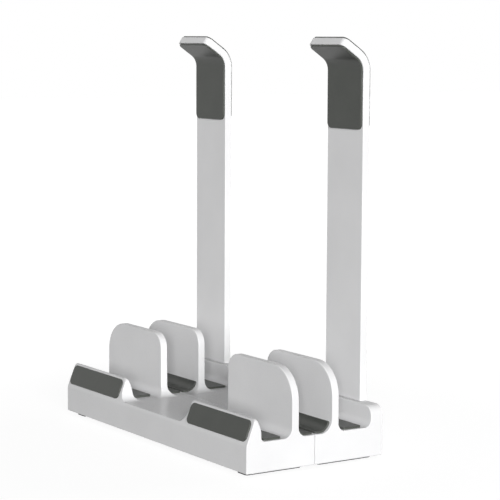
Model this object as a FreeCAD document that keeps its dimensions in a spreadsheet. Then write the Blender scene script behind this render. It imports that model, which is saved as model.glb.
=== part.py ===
import FreeCAD, Part
import Sketcher
import math
import os
import re

# Vertical laptop stand: two hollow shells that slide apart on rails, two hooked posts, soft pads and feet.
# Lengths are millimetres, angles degrees. X runs along the lips, Y from the front to the rear, Z up.
# Each shell is drawn with Y = 0 at the seam between the shells and Z = 0 at their underside.

DOCUMENT = FreeCAD.newDocument("laptop_stand")
SHEET = DOCUMENT.addObject("Spreadsheet::Sheet", "sizes")

SIZES = {
    # base outline
    "width": 230.0,
    "floor_height": 18.85,
    "unit_inner": 42.0,  # from the middle to the inner end of a lip, fin or wall
    "flare_radius": 8.0,  # inner ends sweep into the middle floor
    "shell": 2.4,
    "seam_radius": 0.6,
    "edge_radius": 0.8,
    # front lip
    "lip_depth": 10.75,
    "lip_height": 33.2,
    "lip_break": 17.1,  # where the upright front face starts to lean
    "lip_front_lean": 21.4,
    "lip_shoulder": 26.5,  # where the upright rear face starts to lean
    "lip_rear_lean": 23.3,
    "break_radius": 6.0,
    "lip_shoulder_radius": 14.0,
    "ridge_radius": 1.1,
    "lip_foot": 3.0,
    "lip_inner_corner": 3.0,
    "lip_outer_corner": 2.5,
    "lip_core_height": 8.0,  # hollow inside a lip, above the ceiling of the base
    # fins and the slots beside them
    "front_slot": 22.55,
    "fin_thickness": 5.0,
    "fin_height": 61.4,
    "fin_inner_corner": 10.5,
    "fin_outer_corner": 20.5,
    "front_fin_foot": 6.0,
    "front_fin_rear_foot": 5.5,
    "middle_front": 12.15,  # first fin to the seam
    "middle_rear": 12.85,  # seam to the second fin
    "rear_fin_foot": 8.0,
    "rear_fin_rear_foot": 5.0,
    "rear_slot": 25.1,
    # rear wall
    "wall_thickness": 9.1,
    "wall_height": 32.1,
    "wall_foot": 4.5,
    "wall_inner_corner": 5.0,
    "wall_outer_corner": 6.2,
    # posts and their hooks
    "post_offset": 1.4,  # from the middle of a unit towards its outer end
    "post_width": 37.8,
    "post_thickness": 5.0,
    "post_setback": 3.2,  # ledge of the wall in front of the post
    "bend_height": 240.9,
    "bend_turn": 56.3,
    "bend_radius": 10.3,
    "arm_length": 14.4,
    "tip_corner": 4.0,
    "post_edge": 0.5,
    "tenon_width": 28.0,
    "tenon_thickness": 4.2,
    "tenon_depth": 22.0,
    "socket_gap": 0.15,
    "socket_floor": 3.0,
    "post_screw_spacing": 16.0,
    "post_screw_length": 12.0,
    "post_screw_radius": 1.25,
    "post_head_radius": 2.25,
    "post_head_height": 1.7,
    # pads
    "pad_thickness": 1.25,
    "pad_corner": 1.8,
    "pad_edge": 0.35,
    "pad_margin": 0.4,  # from a foot curve to the pad's edge
    "pad_inset": 2.4,  # from the unit's ends to the pad's ends
    "lip_pad_thickness": 1.0,
    "lip_pad_height": 13.65,
    "lip_pad_rise": 2.35,  # along the slope, above the break
    "lip_pad_corner": 3.6,
    "front_pad_depth": 12.8,
    "rear_pad_depth": 13.9,
    "front_seam_pad_gap": 0.6,
    "rear_seam_pad_gap": 1.8,
    "front_seam_pad_corner": 0.6,
    "front_bend_pad_top": 2.8,  # above the floor, against the first fin's foot
    "rear_bend_pad_top": 6.5,
    "hook_pad_bottom": 204.3,
    "hook_pad_inset": 0.9,
    "hook_pad_corner": 3.8,
    "hook_inner_pad_thickness": 1.2,
    "hook_outer_pad_thickness": 0.85,
    # feet
    "foot_height": 2.4,
    "foot_width": 11.0,
    "foot_inset": 12.0,  # from the base's end to the middle of a strip
    "foot_length": 41.0,
    "foot_setback": 4.0,  # from the shell's front or rear face
    "foot_corner": 2.0,
    "foot_chamfer": 0.5,
    # covers and screws
    "cover_thickness": 2.0,
    "cover_gap": 0.2,
    "cavity_corner": 3.0,
    "boss_radius": 3.5,
    "cover_boss_inset": 27.0,  # from the base's end
    "boss_inset": 6.0,  # from a shell's front or rear wall
    "screw_radius": 1.5,
    "screw_gap": 0.2,
    "thread_gap": 0.05,
    "cover_screw_length": 10.0,
    "flat_head_radius": 3.0,
    "pan_head_radius": 2.75,
    "pan_head_height": 2.0,
    # guide rails
    "travel": 20.0,
    "rail_offset": 4.0,  # from a unit's inner end
    "rail_width": 12.0,
    "rail_thickness": 5.0,
    "rail_base": 5.0,
    "rail_gap": 0.15,
    "rail_rear_length": 34.0,
    "rail_head_width": 18.0,
    "rail_head_length": 6.0,
    "rail_screw_front": 10.0,
    "rail_screw_rear": 28.0,
    "rail_screw_length": 9.0,
    "stop_rib": 16.6,  # seam to the rib that stops the rail's head
    "stop_gap": 0.2,
    # stiffening ribs under the floor
    "rib_thickness": 1.6,
    "rib_drop": 4.0,
    "rib_pitch": 22.0,
    # how far a cutting outline passes the solid
    "overcut": 5.0,
}

for row, (size_name, size) in enumerate(SIZES.items(), 1):
    SHEET.set(f"A{row}", size_name)
    SHEET.set(f"B{row}", str(size))
    SHEET.setAlias(f"B{row}", size_name)
DOCUMENT.recompute()

# Places along Y, from the seam, and heights from the shells' underside.
FRONT_FACE = "(-lip_depth - front_slot - fin_thickness - middle_front)"
FRONT_SLOT_START = f"({FRONT_FACE} + lip_depth)"
FRONT_FIN = "(-fin_thickness - middle_front)"
REAR_FIN = "middle_rear"
REAR_SLOT_START = "(middle_rear + fin_thickness)"
REAR_WALL = f"({REAR_SLOT_START} + rear_slot)"
REAR_FACE = f"({REAR_WALL} + wall_thickness)"
SEAM = f"(-({FRONT_FACE} + {REAR_FACE}) / 2)"
CEILING = "(floor_height - shell)"
POST_FRONT = f"({REAR_WALL} + post_setback)"
TENON_MIDDLE = f"({POST_FRONT} + tenon_thickness / 2)"
TENON_END = "(wall_height - tenon_depth)"
UNIT_MIDDLE = "((width / 2 + unit_inner) / 2)"
POST_MIDDLE = f"({UNIT_MIDDLE} + post_offset)"
RAIL_MIDDLE = "(unit_inner + rail_offset)"
COVER_BOSS = "(width / 2 - cover_boss_inset)"
PAD_LENGTH = "(width / 2 - unit_inner - 2 * pad_inset)"
RAIL_TOP = "(rail_base + rail_thickness)"
RAIL_HEAD = "(-stop_rib - shell - travel - stop_gap)"
FRONT_BOSSES = [f"({FRONT_FACE} + shell + boss_inset)", "(-shell - boss_inset)"]
REAR_BOSSES = ["(shell + boss_inset)", f"({REAR_WALL} - boss_inset)"]
SIDES = {"left": "-", "right": ""}
TOUCH = 1e-5  # two places this close are the same
PARTS = []


def bound(formula):
    """The formula as the sheet's cells name its sizes."""
    return re.sub(r"[a-z_]+", lambda word: f"sizes.{word[0]}" if word[0] in SIZES else word[0], formula)


def number(formula):
    return float(SHEET.evalExpression(bound(formula)))


def tie(thing, what, formula):
    thing.setExpression(what, bound(formula))


def seat(thing, across="0", along="0", up="0"):
    """Place a part whose own frame starts at the seam and at the shells' underside."""
    tie(thing, "Placement.Base.x", across)
    tie(thing, "Placement.Base.y", f"{SEAM} + {along}")
    tie(thing, "Placement.Base.z", f"foot_height + {up}")


def new_body(name):
    body = DOCUMENT.addObject("PartDesign::Body", name)
    body.Label = name
    PARTS.append(body)
    return body


def new_sketch(body, name, plane, offset="0"):
    sketch = body.newObject("Sketcher::SketchObject", name)
    origin_plane = next(item for item in body.Origin.OriginFeatures if item.Role == plane)
    sketch.AttachmentSupport = [(origin_plane, "")]
    sketch.MapMode = "FlatFace"
    tie(sketch, "AttachmentOffset.Base.z", offset)
    return sketch


def corner_arc(before, corner, after, radius):
    """Where an arc of this radius leaves and joins the two sides, and the arc, always anticlockwise."""
    into = (before - corner).normalize()
    out = (after - corner).normalize()
    half = into.getAngle(out) / 2
    reach = radius / math.tan(half)
    bisector = (into + out).normalize()
    centre = corner + bisector * (reach ** 2 + radius ** 2) ** 0.5
    start = corner + into * reach
    end = corner + out * reach
    middle = centre - bisector * radius
    turns_left = (corner - before).cross(after - corner).z > 0
    arc = Part.Arc(start, middle, end) if turns_left else Part.Arc(end, middle, start)
    return start, end, arc, turns_left


def add_outline(sketch, corners):
    """One closed outline of straight sides. A corner is (across, up) or (across, up, radius), as formulas.

    Every sharp corner is a point tied to the sheet, and a rounded one also has its radius tied.
    """
    points = [FreeCAD.Vector(number(corner[0]), number(corner[1]), 0) for corner in corners]
    count = len(corners)
    rounded = {}
    starts = list(points)
    ends = list(points)
    for i, corner in enumerate(corners):
        if len(corner) == 3:
            arc = corner_arc(points[i - 1], points[i], points[(i + 1) % count], number(corner[2]))
            ends[i], starts[i] = arc[0], arc[1]
            rounded[i] = arc
    first = len(sketch.Geometry)
    sides = [Part.LineSegment(starts[i], ends[(i + 1) % count]) for i in range(count)]
    sketch.addGeometry(sides, False)
    named = []
    for i, corner in enumerate(corners):
        side_in = first + (i - 1) % count
        side_out = first + i
        point = (side_out, 1)
        if i in rounded:
            start, end, arc, turns_left = rounded[i]
            curve = sketch.addGeometry(arc, False)
            vertex = sketch.addGeometry(Part.Point(points[i]), True)
            arc_in, arc_out = (1, 2) if turns_left else (2, 1)
            sketch.addConstraint(Sketcher.Constraint("Tangent", side_in, 2, curve, arc_in))
            sketch.addConstraint(Sketcher.Constraint("Tangent", curve, arc_out, side_out, 1))
            sketch.addConstraint(Sketcher.Constraint("PointOnObject", vertex, 1, side_in))
            sketch.addConstraint(Sketcher.Constraint("PointOnObject", vertex, 1, side_out))
            radius = Sketcher.Constraint("Radius", curve, number(corner[2]))
            named.append((radius, f"radius_{curve}", corner[2]))
            point = (vertex, 1)
        else:
            sketch.addConstraint(Sketcher.Constraint("Coincident", side_in, 2, side_out, 1))
        across = Sketcher.Constraint("DistanceX", -1, 1, *point, points[i].x)
        up = Sketcher.Constraint("DistanceY", -1, 1, *point, points[i].y)
        named.append((across, f"across_{side_out}", corner[0]))
        named.append((up, f"up_{side_out}", corner[1]))
    tie_constraints(sketch, named)


def tie_constraints(sketch, named):
    for constraint, name, formula in named:
        sketch.renameConstraint(sketch.addConstraint(constraint), name)
        tie(sketch, f"Constraints.{name}", formula)


def add_rectangle(sketch, across, along, radius=None):
    """A rectangle from its two limits across and its two limits along."""
    corners = [(across[0], along[0]), (across[1], along[0]), (across[1], along[1]), (across[0], along[1])]
    add_outline(sketch, [corner + (radius,) for corner in corners] if radius else corners)


def add_circle(sketch, across, along, radius):
    centre = FreeCAD.Vector(number(across), number(along), 0)
    circle = sketch.addGeometry(Part.Circle(centre, FreeCAD.Vector(0, 0, 1), number(radius)), False)
    tie_constraints(sketch, [
        (Sketcher.Constraint("Radius", circle, number(radius)), f"radius_{circle}", radius),
        (Sketcher.Constraint("DistanceX", -1, 1, circle, 3, centre.x), f"across_{circle}", across),
        (Sketcher.Constraint("DistanceY", -1, 1, circle, 3, centre.y), f"along_{circle}", along),
    ])


def add_feature(kind, body, sketch, length=None, other_way=False, both_ways=False):
    """A pad or a pocket. A pocket has to take some of the solid away."""
    before = body.Tip.Shape.Volume if body.Tip else 0.0
    feature = body.newObject(f"PartDesign::{kind}", f"{sketch.Name}_{kind.lower()}")
    feature.Profile = sketch
    feature.Reversed = other_way
    if both_ways:
        feature.SideType = "Symmetric"
    if length:
        tie(feature, "Length", length)
    else:
        feature.Type = "ThroughAll"
    DOCUMENT.recompute()
    change = feature.Shape.Volume - before
    if (change >= 0) == (kind == "Pocket"):
        raise RuntimeError(f"{feature.Name} changes the volume by {change}")
    return feature


def finish_edges(kind, body, wanted, size):
    """Round ("Fillet") or bevel ("Chamfer") the edges of the body that are wanted."""
    base = body.Tip
    names = [f"Edge{i}" for i, edge in enumerate(base.Shape.Edges, 1) if wanted(edge)]
    feature = body.newObject(f"PartDesign::{kind}", f"{body.Name}_{kind.lower()}")
    feature.Base = (base, names)
    tie(feature, "Radius" if kind == "Fillet" else "Size", size)
    DOCUMENT.recompute()
    return feature


def lies_at(edge, axis, formula):
    """Whether the whole edge lies in the plane where this axis has this value."""
    return all(math.isclose(vertex.Point[axis], number(formula), abs_tol=TOUCH) for vertex in edge.Vertexes)


def both_units(right_half):
    """An outline across the whole base from its right half, which starts and ends at the middle."""
    left_half = [(f"-({corner[0]})",) + corner[1:] for corner in reversed(right_half)]
    return right_half + left_half


def trim_units(body, name, offset, height, corners, towards_front):
    """Cut a full-width lip, fin or wall to its two units, seen from the front.

    The opening between the units is flat at the middle floor and sweeps up their inner ends.
    """
    above = f"({height} + overcut)"
    beside = "(width / 2 + overcut)"
    inner_corner, outer_corner = corners
    shoulder = f"({height} - {outer_corner} - edge_radius)"
    sketch = new_sketch(body, name, "XZ_Plane", f"-({offset})")
    add_outline(sketch, both_units([
        ("unit_inner", "floor_height", "flare_radius"),
        ("unit_inner", height, inner_corner),
        ("width / 2", height, outer_corner),
        ("width / 2", shoulder),
        (beside, shoulder),
        (beside, above),
    ]))
    add_feature("Pocket", body, sketch, other_way=towards_front)


def hollow(body, along):
    """The cavity under a shell, with stiffening ribs below its ceiling."""
    half = "(width / 2 - shell)"
    cavity = new_sketch(body, f"{body.Name}_cavity", "XY_Plane")
    add_rectangle(cavity, (f"-{half}", half), along, "cavity_corner")
    add_feature("Pocket", body, cavity, CEILING, other_way=True)
    ribs = new_sketch(body, f"{body.Name}_ribs", "XY_Plane", f"{CEILING} - rib_drop")
    for step in (-1, 0, 1):
        middle = f"({step} * rib_pitch)"
        add_rectangle(ribs, (f"{middle} - rib_thickness / 2", f"{middle} + rib_thickness / 2"), along)
    add_feature("Pad", body, ribs, "rib_drop")


def add_bosses(body, name, places, bottom):
    """Screw bosses that hang from the ceiling, each with a blind pilot hole."""
    bosses = new_sketch(body, f"{name}_bosses", "XY_Plane", bottom)
    pilots = new_sketch(body, f"{name}_pilots", "XY_Plane", bottom)
    for across, along in places:
        add_circle(bosses, across, along, "boss_radius")
        add_circle(pilots, across, along, "screw_radius + thread_gap")
    return bosses, pilots


def cover_places(rows):
    return [(f"{sign}{COVER_BOSS}", along) for along in rows for sign in ("", "-")]


def rail_places():
    rows = ("rail_screw_front", "rail_screw_rear")
    return [(f"{sign}{RAIL_MIDDLE}", along) for along in rows for sign in ("", "-")]


def post_places():
    """The two screws below each post."""
    middles = (POST_MIDDLE, f"-{POST_MIDDLE}")
    steps = ("+ post_screw_spacing / 2", "- post_screw_spacing / 2")
    return [(f"{middle} {step}", TENON_MIDDLE) for middle in middles for step in steps]


def cut_rail_channels(body, name):
    """Openings for the rails through the seam wall and through the stop ribs."""
    sketch = new_sketch(body, name, "XZ_Plane")
    for sign in ("", "-"):
        middle = f"{sign}{RAIL_MIDDLE}"
        reach = "(rail_width / 2 + rail_gap)"
        add_rectangle(sketch, (f"{middle} - {reach}", f"{middle} + {reach}"),
                      ("rail_base - rail_gap", f"{RAIL_TOP} + rail_gap"))
    return sketch


def core_lips(body):
    """Hollow both lips from below, so that their walls are as thick as the base's."""
    def front(height):
        leaning = f"({height} - lip_break) * tan(lip_front_lean)"
        return f"{FRONT_FACE} + {leaning} + shell / cos(lip_front_lean)"

    rear = f"{FRONT_SLOT_START} - shell"
    top = f"({CEILING} + lip_core_height)"
    for side, sign in SIDES.items():
        core = new_sketch(body, f"lip_core_{side}", "YZ_Plane", f"{sign}{UNIT_MIDDLE}")
        add_outline(core, [
            (f"{FRONT_FACE} + shell", f"{CEILING} - edge_radius"),
            (rear, f"{CEILING} - edge_radius"),
            (rear, top, "seam_radius"),
            (front(top), top, "seam_radius"),
            (front("lip_break"), "lip_break"),
            (f"{FRONT_FACE} + shell", CEILING),
        ])
        add_feature("Pocket", body, core, "width / 2 - unit_inner - 2 * shell", both_ways=True)


def make_front_shell():
    body = new_body("front_base_shell")
    seat(body)
    lip_top_front = f"({FRONT_FACE} + (lip_height - lip_break) * tan(lip_front_lean))"
    lip_top_rear = f"({FRONT_SLOT_START} - (lip_height - lip_shoulder) * tan(lip_rear_lean))"
    section = new_sketch(body, "front_section", "YZ_Plane")
    add_outline(section, [
        (FRONT_FACE, "0", "seam_radius"),
        ("0", "0", "edge_radius"),
        ("0", "floor_height", "seam_radius"),
        ("-middle_front", "floor_height", "front_fin_rear_foot"),
        ("-middle_front", "fin_height", "edge_radius"),
        (FRONT_FIN, "fin_height", "edge_radius"),
        (FRONT_FIN, "floor_height", "front_fin_foot"),
        (FRONT_SLOT_START, "floor_height", "lip_foot"),
        (FRONT_SLOT_START, "lip_shoulder", "lip_shoulder_radius"),
        (lip_top_rear, "lip_height", "ridge_radius"),
        (lip_top_front, "lip_height", "ridge_radius"),
        (FRONT_FACE, "lip_break", "break_radius"),
    ])
    add_feature("Pad", body, section, "width", both_ways=True)
    slot_middle = f"{FRONT_SLOT_START} + front_slot / 2"
    fin_corners = ("fin_inner_corner", "fin_outer_corner")
    trim_units(body, "lip_trim", slot_middle, "lip_height", ("lip_inner_corner", "lip_outer_corner"), True)
    trim_units(body, "front_fin_trim", slot_middle, "fin_height", fin_corners, False)
    hollow(body, (f"{FRONT_FACE} + shell", "-shell"))
    core_lips(body)
    stops = new_sketch(body, "stop_ribs", "XY_Plane", "cover_thickness")
    for sign in ("", "-"):
        middle = f"{sign}{RAIL_MIDDLE}"
        reach = "(rail_head_width / 2 + shell)"
        add_rectangle(stops, (f"{middle} - {reach}", f"{middle} + {reach}"),
                      ("-stop_rib - shell", "-stop_rib"))
    add_feature("Pad", body, stops, f"{CEILING} - cover_thickness")
    channels = cut_rail_channels(body, "front_channels")
    add_feature("Pocket", body, channels, "stop_rib + shell + overcut", other_way=True)
    bosses, pilots = add_bosses(body, "front_cover", cover_places(FRONT_BOSSES), "cover_thickness")
    add_feature("Pad", body, bosses, f"{CEILING} - cover_thickness")
    add_feature("Pocket", body, pilots, "cover_screw_length", other_way=True)


def make_rear_shell():
    body = new_body("rear_base_shell")
    seat(body)
    section = new_sketch(body, "rear_section", "YZ_Plane")
    add_outline(section, [
        ("0", "0", "edge_radius"),
        (REAR_FACE, "0", "seam_radius"),
        (REAR_FACE, "wall_height", "edge_radius"),
        (REAR_WALL, "wall_height", "edge_radius"),
        (REAR_WALL, "floor_height", "wall_foot"),
        (REAR_SLOT_START, "floor_height", "rear_fin_rear_foot"),
        (REAR_SLOT_START, "fin_height", "edge_radius"),
        (REAR_FIN, "fin_height", "edge_radius"),
        (REAR_FIN, "floor_height", "rear_fin_foot"),
        ("0", "floor_height", "seam_radius"),
    ])
    add_feature("Pad", body, section, "width", both_ways=True)
    slot_middle = f"{REAR_SLOT_START} + rear_slot / 2"
    fin_corners = ("fin_inner_corner", "fin_outer_corner")
    trim_units(body, "rear_fin_trim", slot_middle, "fin_height", fin_corners, True)
    wall_corners = ("wall_inner_corner", "wall_outer_corner")
    trim_units(body, "wall_trim", slot_middle, "wall_height", wall_corners, False)
    hollow(body, ("shell", f"{REAR_FACE} - shell"))
    block_bottom = f"({TENON_END} - socket_gap - socket_floor)"
    blocks = new_sketch(body, "socket_blocks", "XY_Plane", block_bottom)
    sockets = new_sketch(body, "sockets", "XY_Plane", "wall_height")
    for sign in ("", "-"):
        middle = f"{sign}{POST_MIDDLE}"
        reach = "(tenon_width / 2 + socket_gap)"
        add_rectangle(blocks, (f"{middle} - {reach} - shell", f"{middle} + {reach} + shell"),
                      (REAR_WALL, f"{REAR_FACE} - shell / 2"))
        side = "(tenon_thickness / 2 + socket_gap)"
        add_rectangle(sockets, (f"{middle} - {reach}", f"{middle} + {reach}"),
                      (f"{TENON_MIDDLE} - {side}", f"{TENON_MIDDLE} + {side}"))
    add_feature("Pad", body, blocks, f"{CEILING} - {block_bottom}")
    add_feature("Pocket", body, sockets, "tenon_depth + socket_gap")
    recesses = new_sketch(body, "post_head_recesses", "XY_Plane")
    post_holes = new_sketch(body, "post_screw_holes", "XY_Plane", block_bottom)
    for across, along in post_places():
        add_circle(recesses, across, along, "post_head_radius + screw_gap")
        add_circle(post_holes, across, along, "post_screw_radius + screw_gap")
    add_feature("Pocket", body, recesses, block_bottom, other_way=True)
    add_feature("Pocket", body, post_holes, "socket_floor + socket_gap", other_way=True)
    channels = cut_rail_channels(body, "rear_channels")
    add_feature("Pocket", body, channels, "shell + overcut")
    bosses, pilots = add_bosses(body, "rear_cover", cover_places(REAR_BOSSES), "cover_thickness")
    add_feature("Pad", body, bosses, f"{CEILING} - cover_thickness")
    add_feature("Pocket", body, pilots, "cover_screw_length", other_way=True)
    bosses, pilots = add_bosses(body, "rail", rail_places(), RAIL_TOP)
    add_feature("Pad", body, bosses, f"{CEILING} - {RAIL_TOP}")
    add_feature("Pocket", body, pilots, "rail_screw_length - rail_thickness + thread_gap", other_way=True)


def make_cover(name, along, rows):
    """A bottom cover, flush with the shell's underside, with countersunk screw holes."""
    body = new_body(name)
    seat(body)
    half = "(width / 2 - shell - cover_gap)"
    plate = new_sketch(body, f"{name}_plate", "XY_Plane")
    add_rectangle(plate, (f"-{half}", half), (f"{along[0]} + cover_gap", f"{along[1]} - cover_gap"),
                  "cavity_corner - cover_gap")
    add_feature("Pad", body, plate, "cover_thickness")
    holes = new_sketch(body, f"{name}_holes", "XY_Plane")
    for across, row in cover_places(rows):
        add_circle(holes, across, row, "screw_radius + screw_gap")
    add_feature("Pocket", body, holes, other_way=True)
    finish_edges("Chamfer", body, lambda edge: len(edge.Vertexes) == 1 and lies_at(edge, 2, "0"),
                 "flat_head_radius - screw_radius")


def add_primitive(kind, sizes, name, place):
    """A cylinder or cone that stands on a place given from the seam and the shells' underside."""
    item = DOCUMENT.addObject(f"Part::{kind}", name)
    for what, formula in sizes.items():
        tie(item, what, formula)
    seat(item, *place)
    return item


def make_screws(name, places, underside, head, shank):
    """A group of like screws that point up, each a head and a shank, given as a kind and its sizes."""
    items = []
    for i, (across, along) in enumerate(places):
        items.append(add_primitive(*head, f"{name}_head_{i}", (across, along, underside)))
        place = (across, along, f"{underside} + {head[1]['Height']}")
        items.append(add_primitive(*shank, f"{name}_shank_{i}", place))
    group = DOCUMENT.addObject("Part::MultiFuse", name)
    group.Label = name
    group.Shapes = items
    PARTS.append(group)


def make_rail(side):
    """A flat bar whose wider head stops against the front shell's rib."""
    body = new_body(f"guide_rail_{side}")
    seat(body, f"{SIDES[side]}{RAIL_MIDDLE}", "0", "rail_base")
    half = "rail_width / 2"
    head = "rail_head_width / 2"
    shape = new_sketch(body, f"rail_{side}_outline", "XY_Plane")
    head_front = f"({RAIL_HEAD} - rail_head_length)"
    add_outline(shape, [
        (f"-{head}", head_front, "edge_radius"),
        (head, head_front, "edge_radius"),
        (head, RAIL_HEAD),
        (half, RAIL_HEAD),
        (half, "rail_rear_length"),
        (f"-{half}", "rail_rear_length"),
        (f"-{half}", RAIL_HEAD),
        (f"-{head}", RAIL_HEAD),
    ])
    add_feature("Pad", body, shape, "rail_thickness")
    holes = new_sketch(body, f"rail_{side}_holes", "XY_Plane")
    for row in ("rail_screw_front", "rail_screw_rear"):
        add_circle(holes, "0", row, "screw_radius + screw_gap")
    add_feature("Pocket", body, holes, other_way=True)


def hook_band(inside, outside, bottom, arm):
    """Side outline of a band that follows the hook, between two distances behind the post's front face."""
    def end(distance):
        radius = f"(bend_radius + {distance})"
        centre = f"({POST_FRONT} - bend_radius)"
        return (f"{centre} + {radius} * cos(bend_turn) - {arm} * sin(bend_turn)",
                f"bend_height + {radius} * sin(bend_turn) + {arm} * cos(bend_turn)")

    def bend(distance):
        radius = f"(bend_radius + {distance})"
        return (f"{POST_FRONT} + {distance}", f"bend_height + {radius} * tan(bend_turn / 2)", radius)

    return [
        (f"{POST_FRONT} + {outside}", bottom),
        bend(outside),
        end(outside),
        end(inside),
        bend(inside),
        (f"{POST_FRONT} + {inside}", bottom),
    ]


def crosses_band(edge, thickness):
    """Whether an edge runs through the thickness of a hook band."""
    across = abs(edge.Vertexes[0].X - edge.Vertexes[-1].X)
    return across < TOUCH and math.isclose(edge.Length, number(thickness), abs_tol=TOUCH)


def bevel_rims(body, faces, bottom, size):
    """Break the edges round the broad faces of a bent band. Its upright edges lead on round its tip."""
    above = number(f"{bottom} + edge_radius")
    finish_edges("Chamfer", body, lambda edge: edge.CenterOfMass.z > above and
                 any(lies_at(edge, 1, face) for face in faces), size)


def make_post(side):
    """A flat bar bent forward at its top, with a narrower tenon at its foot for the wall's socket."""
    body = new_body(f"post_{side}")
    seat(body, f"{SIDES[side]}{POST_MIDDLE}")
    band = new_sketch(body, f"post_{side}_band", "YZ_Plane")
    add_outline(band, hook_band("0", "post_thickness", "wall_height", "arm_length"))
    add_feature("Pad", body, band, "post_width", both_ways=True)
    bend_top = number("bend_height")
    finish_edges("Fillet", body, lambda edge: crosses_band(edge, "post_thickness") and
                 edge.CenterOfMass.z > bend_top, "tip_corner")
    bevel_rims(body, (POST_FRONT, f"{POST_FRONT} + post_thickness"), "wall_height", "post_edge")
    tenon = new_sketch(body, f"post_{side}_tenon", "XY_Plane", "wall_height")
    add_rectangle(tenon, ("-tenon_width / 2", "tenon_width / 2"),
                  (POST_FRONT, f"{POST_FRONT} + tenon_thickness"))
    add_feature("Pad", body, tenon, "tenon_depth", other_way=True)
    holes = new_sketch(body, f"post_{side}_holes", "XY_Plane", TENON_END)
    for sign in ("", "-"):
        add_circle(holes, f"{sign}post_screw_spacing / 2", TENON_MIDDLE, "post_screw_radius + thread_gap")
    add_feature("Pocket", body, holes, "post_screw_length - socket_floor + thread_gap", other_way=True)


def make_hook_pad(name, side, inside, outside, arm, inset):
    """A soft pad that follows the hook, with rounded corners at both ends."""
    body = new_body(f"{name}_{side}")
    seat(body, f"{SIDES[side]}{POST_MIDDLE}")
    band = new_sketch(body, f"{name}_{side}_band", "YZ_Plane")
    add_outline(band, hook_band(inside, outside, "hook_pad_bottom", arm))
    add_feature("Pad", body, band, f"post_width - 2 * {inset}", both_ways=True)
    finish_edges("Fillet", body, lambda edge: crosses_band(edge, f"{outside} - {inside}"), "hook_pad_corner")
    exposed = inside if outside == "0" else outside
    bevel_rims(body, (f"{POST_FRONT} + {exposed}",), "hook_pad_bottom", "pad_edge")


def make_lip_pad(side):
    """A flat pad on the leaning face of a lip."""
    body = new_body(f"lip_pad_{side}")
    along_slope = "lip_pad_rise"
    seat(body, f"{SIDES[side]}{UNIT_MIDDLE}", f"{FRONT_FACE} + {along_slope} * sin(lip_front_lean)",
         f"lip_break + {along_slope} * cos(lip_front_lean)")
    body.Placement.Rotation = FreeCAD.Rotation(FreeCAD.Vector(1, 0, 0), 90)
    tie(body, "Placement.Rotation.Angle", "90 - lip_front_lean")
    face = new_sketch(body, f"lip_pad_{side}_face", "XY_Plane")
    half = f"({PAD_LENGTH} / 2)"
    add_rectangle(face, (f"-{half}", half), ("0", "lip_pad_height"), "lip_pad_corner")
    add_feature("Pad", body, face, "lip_pad_thickness")
    finish_edges("Chamfer", body, lambda edge: lies_at(edge, 2, "lip_pad_thickness"), "pad_edge")


def make_floor_pad(name, side, start, depth):
    """A flat pad on a slot's floor."""
    body = new_body(f"{name}_{side}")
    seat(body, f"{SIDES[side]}{UNIT_MIDDLE}", start, "floor_height")
    face = new_sketch(body, f"{name}_{side}_face", "XY_Plane")
    half = f"({PAD_LENGTH} / 2)"
    add_rectangle(face, (f"-{half}", half), ("0", depth), "pad_corner")
    add_feature("Pad", body, face, "pad_thickness")
    finish_edges("Chamfer", body, lambda edge: lies_at(edge, 2, "pad_thickness"), "pad_edge")


def make_bend_pad(name, side, fin_face, foot, top, towards_rear):
    """A pad that runs from beside the seam over the floor and up the foot curve of a fin."""
    body = new_body(f"{name}_{side}")
    seat(body, f"{SIDES[side]}{UNIT_MIDDLE}")
    sign, seam_edge, seam_corner = "-", "-front_seam_pad_gap", "front_seam_pad_corner"
    if towards_rear:
        sign, seam_edge, seam_corner = "", "rear_seam_pad_gap", "pad_corner"
    inner_face = f"({fin_face} - {sign}pad_thickness)" if towards_rear else f"({fin_face} + pad_thickness)"
    above = f"(floor_height + {foot} + overcut)"
    corners = [
        (seam_edge, "floor_height"),
        (fin_face, "floor_height", foot),
        (fin_face, above),
        (inner_face, above),
        (inner_face, "floor_height + pad_thickness", f"{foot} - pad_thickness"),
        (seam_edge, "floor_height + pad_thickness"),
    ]
    section = new_sketch(body, f"{name}_{side}_section", "YZ_Plane")
    add_outline(section, corners if towards_rear else corners[::-1])
    add_feature("Pad", body, section, PAD_LENGTH, both_ways=True)
    trim = new_sketch(body, f"{name}_{side}_trim", "YZ_Plane")
    limits = ("0", f"{fin_face} {'+' if towards_rear else '-'} overcut")
    add_rectangle(trim, limits if towards_rear else limits[::-1],
                  (f"floor_height + {top}", f"{above} + overcut"))
    add_feature("Pocket", body, trim, f"{PAD_LENGTH} + overcut", both_ways=True)
    finish_edges("Fillet", body, lambda edge: lies_at(edge, 1, seam_edge) and
                 math.isclose(edge.Length, number("pad_thickness"), abs_tol=TOUCH), seam_corner)


def make_foot(end, side, start):
    """A foot strip under a cover, bevelled where it meets the desk."""
    body = new_body(f"{end}_foot_strip_{side}")
    seat(body, f"{SIDES[side]}(width / 2 - foot_inset)", start)
    face = new_sketch(body, f"{end}_foot_{side}_face", "XY_Plane")
    add_rectangle(face, ("-foot_width / 2", "foot_width / 2"), ("0", "foot_length"), "foot_corner")
    add_feature("Pad", body, face, "foot_height", other_way=True)
    finish_edges("Chamfer", body, lambda edge: lies_at(edge, 2, "-foot_height"), "foot_chamfer")


def check_and_write():
    """Every feature is sound and every part is one valid shape, then each part's file is written."""
    DOCUMENT.recompute()
    for item in DOCUMENT.Objects:
        if {"Invalid", "Error"} & set(item.State):
            raise RuntimeError(f"{item.Name} failed: {item.State}")
    for part in PARTS:
        if part.Shape.isNull() or not part.Shape.isValid():
            raise RuntimeError(f"{part.Label} has no valid shape")
    os.makedirs("parts", exist_ok=True)
    for part in PARTS:
        part.Shape.exportStep(f"parts/{part.Label}.step")
        print(part.Label, len(part.Shape.Solids), round(part.Shape.Volume, 1))


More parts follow.
